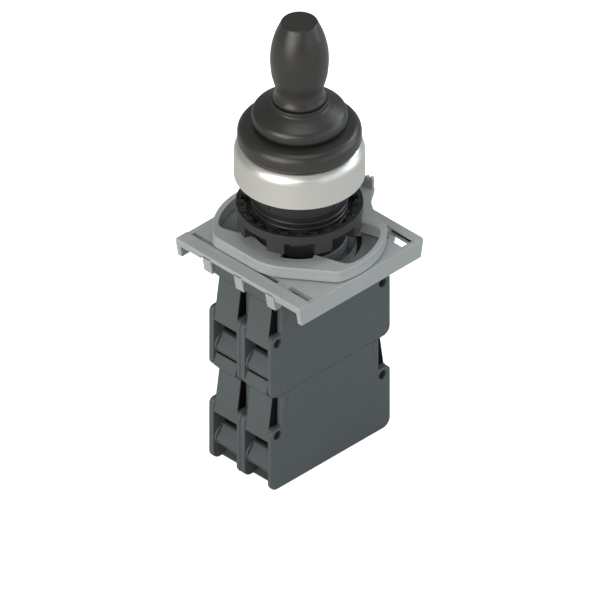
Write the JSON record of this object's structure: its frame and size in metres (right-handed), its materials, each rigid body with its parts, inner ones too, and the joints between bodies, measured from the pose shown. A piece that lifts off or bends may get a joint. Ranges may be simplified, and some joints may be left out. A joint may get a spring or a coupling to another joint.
{
  "type": "industrial joystick",
  "caption": "Panel-mount joystick operator with a waisted knob, bellows boot, round bezel, ring nut, locking ring, square flange and stacked contact blocks.",
  "frame": {"origin": "on the operator's axis, in the plane where the bezel meets the panel's front face", "axes": "+Z out of the panel towards the knob; the contact blocks' terminals face -Y and +Y; the two columns of blocks lie side by side along X"},
  "size_m": [0.0394, 0.0428, 0.1154],
  "materials": {
    "knob_black": "satin",
    "boot_rubber": "matte",
    "bezel_satin": "satin",
    "gasket_rubber": "matte",
    "barrel_black": "matte",
    "nut_black": "matte",
    "flange_grey": "matte",
    "block_grey": "matte",
    "slider_white": "matte",
    "steel": "satin",
    "spring_steel": "satin",
    "brass": "satin",
    "copper_alloy": "satin"
  },
  "bodies": {
    "base": {"bezel_ring": "bezel_satin", "panel_gasket": "gasket_rubber", "threaded_barrel": "barrel_black", "gate_plate": "barrel_black", "boot": "boot_rubber", "boot_clamp_ring": "barrel_black", "gimbal_pins": "steel", "guide_plate": "barrel_black", "centring_spring": "spring_steel", "mounting_flange": "flange_grey", "cover_upper_left": "block_grey", "cover_upper_right": "block_grey", "cover_lower_left": "block_grey", "cover_lower_right": "block_grey", "case_upper_left": "block_grey", "case_upper_right": "block_grey", "case_lower_left": "block_grey", "case_lower_right": "block_grey", "fixed_contacts_upper_left": "copper_alloy", "fixed_contacts_upper_right": "copper_alloy", "fixed_contacts_lower_left": "copper_alloy", "fixed_contacts_lower_right": "copper_alloy", "clamp_springs_upper_left": "spring_steel", "clamp_springs_upper_right": "spring_steel", "clamp_springs_lower_left": "spring_steel", "clamp_springs_lower_right": "spring_steel", "contact_spring_upper_left": "spring_steel", "contact_spring_upper_right": "spring_steel", "contact_spring_lower_left": "spring_steel", "contact_spring_lower_right": "spring_steel"},
    "gimbal": {"gimbal_ring": "steel"},
    "lever": {"lever_shaft": "steel", "pivot_hub": "steel", "hub_pin": "steel", "swash_plate": "steel", "knob": "knob_black", "knob_insert": "brass"},
    "east_pusher": {"pusher_east": "slider_white", "slider_upper_right": "slider_white", "contact_bridge_upper_right": "copper_alloy"},
    "west_pusher": {"pusher_west": "slider_white", "slider_upper_left": "slider_white", "contact_bridge_upper_left": "copper_alloy"},
    "north_pusher": {"pusher_north": "slider_white", "push_rod_north": "slider_white", "slider_lower_right": "slider_white", "contact_bridge_lower_right": "copper_alloy"},
    "south_pusher": {"pusher_south": "slider_white", "push_rod_south": "slider_white", "slider_lower_left": "slider_white", "contact_bridge_lower_left": "copper_alloy"},
    "nut_carrier": {"clamp_washer": "nut_black"},
    "nut": {"ring_nut": "nut_black"},
    "bayonet_ring": {"locking_ring": "flange_grey"}
  },
  "joints": [
    {"name": "tilt_x", "type": "hinge", "parent": "base", "child": "gimbal", "pos_m": [0, 0, -0.001], "axis": [1, 0, 0], "range_deg": [-12, 12], "stiffness_Nm_per_rad": 0.6, "deforming": ["boot", "centring_spring"]},
    {"name": "tilt_y", "type": "hinge", "parent": "gimbal", "child": "lever", "pos_m": [0, 0, -0.001], "axis": [0, 1, 0], "range_deg": [-12, 12], "stiffness_Nm_per_rad": 0.6, "deforming": ["boot", "centring_spring"]},
    {"name": "push_east", "type": "slide", "parent": "base", "child": "east_pusher", "axis": [0, 0, 1], "range_m": [-0.00121, 0.00121], "deforming": ["contact_spring_upper_right"]},
    {"name": "push_west", "type": "slide", "parent": "base", "child": "west_pusher", "axis": [0, 0, 1], "range_m": [-0.00121, 0.00121], "deforming": ["contact_spring_upper_left"]},
    {"name": "push_north", "type": "slide", "parent": "base", "child": "north_pusher", "axis": [0, 0, 1], "range_m": [-0.00121, 0.00121], "deforming": ["contact_spring_lower_right"]},
    {"name": "push_south", "type": "slide", "parent": "base", "child": "south_pusher", "axis": [0, 0, 1], "range_m": [-0.00121, 0.00121], "deforming": ["contact_spring_lower_left"]},
    {"name": "nut_travel", "type": "slide", "parent": "base", "child": "nut_carrier", "axis": [0, 0, 1], "range_m": [0, 0.00601]},
    {"name": "nut_turn", "type": "hinge", "parent": "nut_carrier", "child": "nut", "pos_m": [0, 0, -0.01], "axis": [0, 0, 1], "range_deg": [0, 1440]},
    {"name": "lock_turn", "type": "hinge", "parent": "base", "child": "bayonet_ring", "pos_m": [0, 0, -0.015], "axis": [0, 0, 1], "range_deg": [-36.5, 0]}
  ],
  "couplings": [
    {"joint": "push_east", "follows": "tilt_y", "m_per_rad": -0.005755},
    {"joint": "push_west", "follows": "tilt_y", "m_per_rad": 0.005755},
    {"joint": "push_north", "follows": "tilt_x", "m_per_rad": 0.005755},
    {"joint": "push_south", "follows": "tilt_x", "m_per_rad": -0.005755},
    {"joint": "nut_travel", "follows": "nut_turn", "m_per_rad": 0.00023873}
  ]
}
